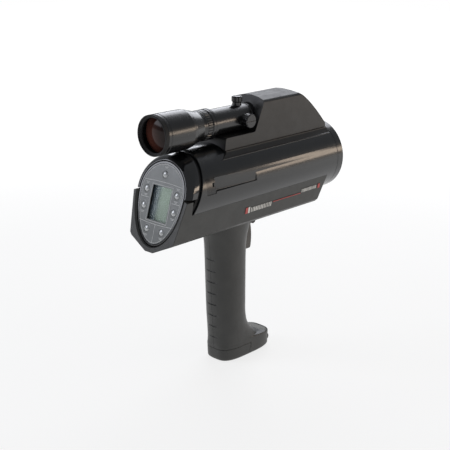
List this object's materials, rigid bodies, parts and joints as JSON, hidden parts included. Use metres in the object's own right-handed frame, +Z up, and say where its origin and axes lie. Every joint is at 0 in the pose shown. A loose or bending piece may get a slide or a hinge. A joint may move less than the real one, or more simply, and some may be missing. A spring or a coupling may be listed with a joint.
{
  "type": "pistol-grip infrared thermometer with telescopic sight",
  "caption": "Pistol-grip long-range infrared thermometer: metal optical barrel, tilted key and display panel at the rear, telescopic sight in a hood on top, battery handle with tripod foot.",
  "frame": {"origin": "centre of the tripod socket's mouth, on the flat foot of the handle", "axes": "+X is the aiming direction, +Y is the operator's left, +Z is up, parallel to the handle and square to the barrel"},
  "size_m": [0.2368, 0.071, 0.2587],
  "materials": {
    "body_plastic": "fine moulded texture, satin",
    "anodised_barrel": "gloss black anodised",
    "gloss_cap": "high gloss",
    "coated_objective": "anti-reflection coated",
    "steel_hardware": "plated",
    "inner_plastic": "moulded",
    "circuit_board": "solder mask",
    "seal_rubber": "matt",
    "panel_film": "printed polyester film, semi-gloss",
    "display_window": "clear",
    "display_glass": "liquid crystal grey-green",
    "port_plastic": "gloss",
    "hood_plastic": "fine moulded texture",
    "sight_anodised": "satin black anodised",
    "coated_sight_glass": "amber coated",
    "brass": "turned",
    "trigger_plastic": "moulded",
    "cell_jacket": "plain jacket",
    "cover_rubber": "matt",
    "trim_red": "printed film",
    "key_silver": "domed, glossy"
  },
  "bodies": {
    "housing": {"housing_left": "body_plastic", "housing_right": "body_plastic", "barrel_tube": "anodised_barrel", "lens_bezel": "anodised_barrel", "objective_lens": "coated_objective", "lens_seat_ring": "steel_hardware", "baffle_tube": "inner_plastic", "detector_can": "steel_hardware", "detector_board": "circuit_board", "barrel_seal": "seal_rubber", "rear_cap": "gloss_cap", "panel_frame": "gloss_cap", "keypad_overlay": "panel_film", "lcd_window": "display_window", "lcd_module": "display_glass", "keypad_board": "circuit_board", "main_board": "circuit_board", "beam_port_right": "port_plastic", "beam_port_left": "port_plastic", "hood": "hood_plastic", "hood_screws": "steel_hardware", "sight_tube": "sight_anodised", "front_lens": "coated_sight_glass", "front_lens_ring": "sight_anodised", "erector_cell": "brass", "turret_seat_top": "sight_anodised", "turret_seat_side": "sight_anodised", "trigger_pin": "steel_hardware", "trigger_spring": "steel_hardware", "trigger_switch": "inner_plastic", "battery_cells": "cell_jacket", "battery_contacts": "steel_hardware", "door_pin": "steel_hardware", "tripod_insert": "brass", "power_jack": "inner_plastic", "housing_screws": "steel_hardware", "side_trim_right": "trim_red", "side_trim_left": "trim_red"},
    "trigger": {"trigger": "trigger_plastic"},
    "key_top": {"key_top": "key_silver"},
    "key_right_upper": {"key_right_upper": "key_silver"},
    "key_right_lower": {"key_right_lower": "key_silver"},
    "key_left_upper": {"key_left_upper": "key_silver"},
    "key_left_lower": {"key_left_lower": "key_silver"},
    "key_bottom_right": {"key_bottom_right": "key_silver"},
    "key_bottom_left": {"key_bottom_left": "key_silver"},
    "elevation_dial": {"elevation_dial": "sight_anodised"},
    "windage_dial": {"windage_dial": "sight_anodised"},
    "lock_ring": {"lock_ring": "sight_anodised"},
    "eyepiece": {"eyepiece_bell": "sight_anodised", "eyepiece_lens": "coated_sight_glass", "eyepiece_ring": "seal_rubber"},
    "battery_door": {"battery_door": "body_plastic"},
    "jack_cover": {"jack_cover": "cover_rubber"}
  },
  "joints": [
    {"name": "trigger_pull", "type": "hinge", "parent": "housing", "child": "trigger", "pos_m": [-0.009, 0, 0.1375], "axis": [0, 1, 0], "range_deg": [0, 6], "stiffness_Nm_per_rad": 0.35, "springref_deg": -20.05, "deforming": ["trigger_spring"]},
    {"name": "key_top_press", "type": "slide", "parent": "housing", "child": "key_top", "axis": [0.9563, 0, -0.2924], "range_m": [0, 0.0005], "stiffness_N_per_m": 400, "springref_m": -0.001},
    {"name": "key_right_upper_press", "type": "slide", "parent": "housing", "child": "key_right_upper", "axis": [0.9563, 0, -0.2924], "range_m": [0, 0.0005], "stiffness_N_per_m": 400, "springref_m": -0.001},
    {"name": "key_right_lower_press", "type": "slide", "parent": "housing", "child": "key_right_lower", "axis": [0.9563, 0, -0.2924], "range_m": [0, 0.0005], "stiffness_N_per_m": 400, "springref_m": -0.001},
    {"name": "key_left_upper_press", "type": "slide", "parent": "housing", "child": "key_left_upper", "axis": [0.9563, 0, -0.2924], "range_m": [0, 0.0005], "stiffness_N_per_m": 400, "springref_m": -0.001},
    {"name": "key_left_lower_press", "type": "slide", "parent": "housing", "child": "key_left_lower", "axis": [0.9563, 0, -0.2924], "range_m": [0, 0.0005], "stiffness_N_per_m": 400, "springref_m": -0.001},
    {"name": "key_bottom_right_press", "type": "slide", "parent": "housing", "child": "key_bottom_right", "axis": [0.9563, 0, -0.2924], "range_m": [0, 0.0005], "stiffness_N_per_m": 400, "springref_m": -0.001},
    {"name": "key_bottom_left_press", "type": "slide", "parent": "housing", "child": "key_bottom_left", "axis": [0.9563, 0, -0.2924], "range_m": [0, 0.0005], "stiffness_N_per_m": 400, "springref_m": -0.001},
    {"name": "elevation_turn", "type": "hinge", "parent": "housing", "child": "elevation_dial", "pos_m": [-0.022, 0, 0.2561], "axis": [0, 0, 1], "range_deg": [-540, 540]},
    {"name": "windage_turn", "type": "hinge", "parent": "housing", "child": "windage_dial", "pos_m": [-0.024, -0.018, 0.2381], "axis": [0, 1, 0], "range_deg": [-540, 540]},
    {"name": "lock_ring_turn", "type": "hinge", "parent": "housing", "child": "lock_ring", "pos_m": [-0.071, 0, 0.2381], "axis": [1, 0, 0], "range_deg": [-180, 180]},
    {"name": "eyepiece_focus", "type": "hinge", "parent": "housing", "child": "eyepiece", "pos_m": [-0.1, 0, 0.2381], "axis": [1, 0, 0], "range_deg": [-180, 180]},
    {"name": "battery_door_swing", "type": "hinge", "parent": "housing", "child": "battery_door", "pos_m": [-0.0135, 0, 0.0034], "axis": [0, -1, 0], "range_deg": [0, 80]},
    {"name": "jack_cover_lift", "type": "slide", "parent": "housing", "child": "jack_cover", "axis": [0, 0, 1], "range_m": [0, 0.008]}
  ]
}
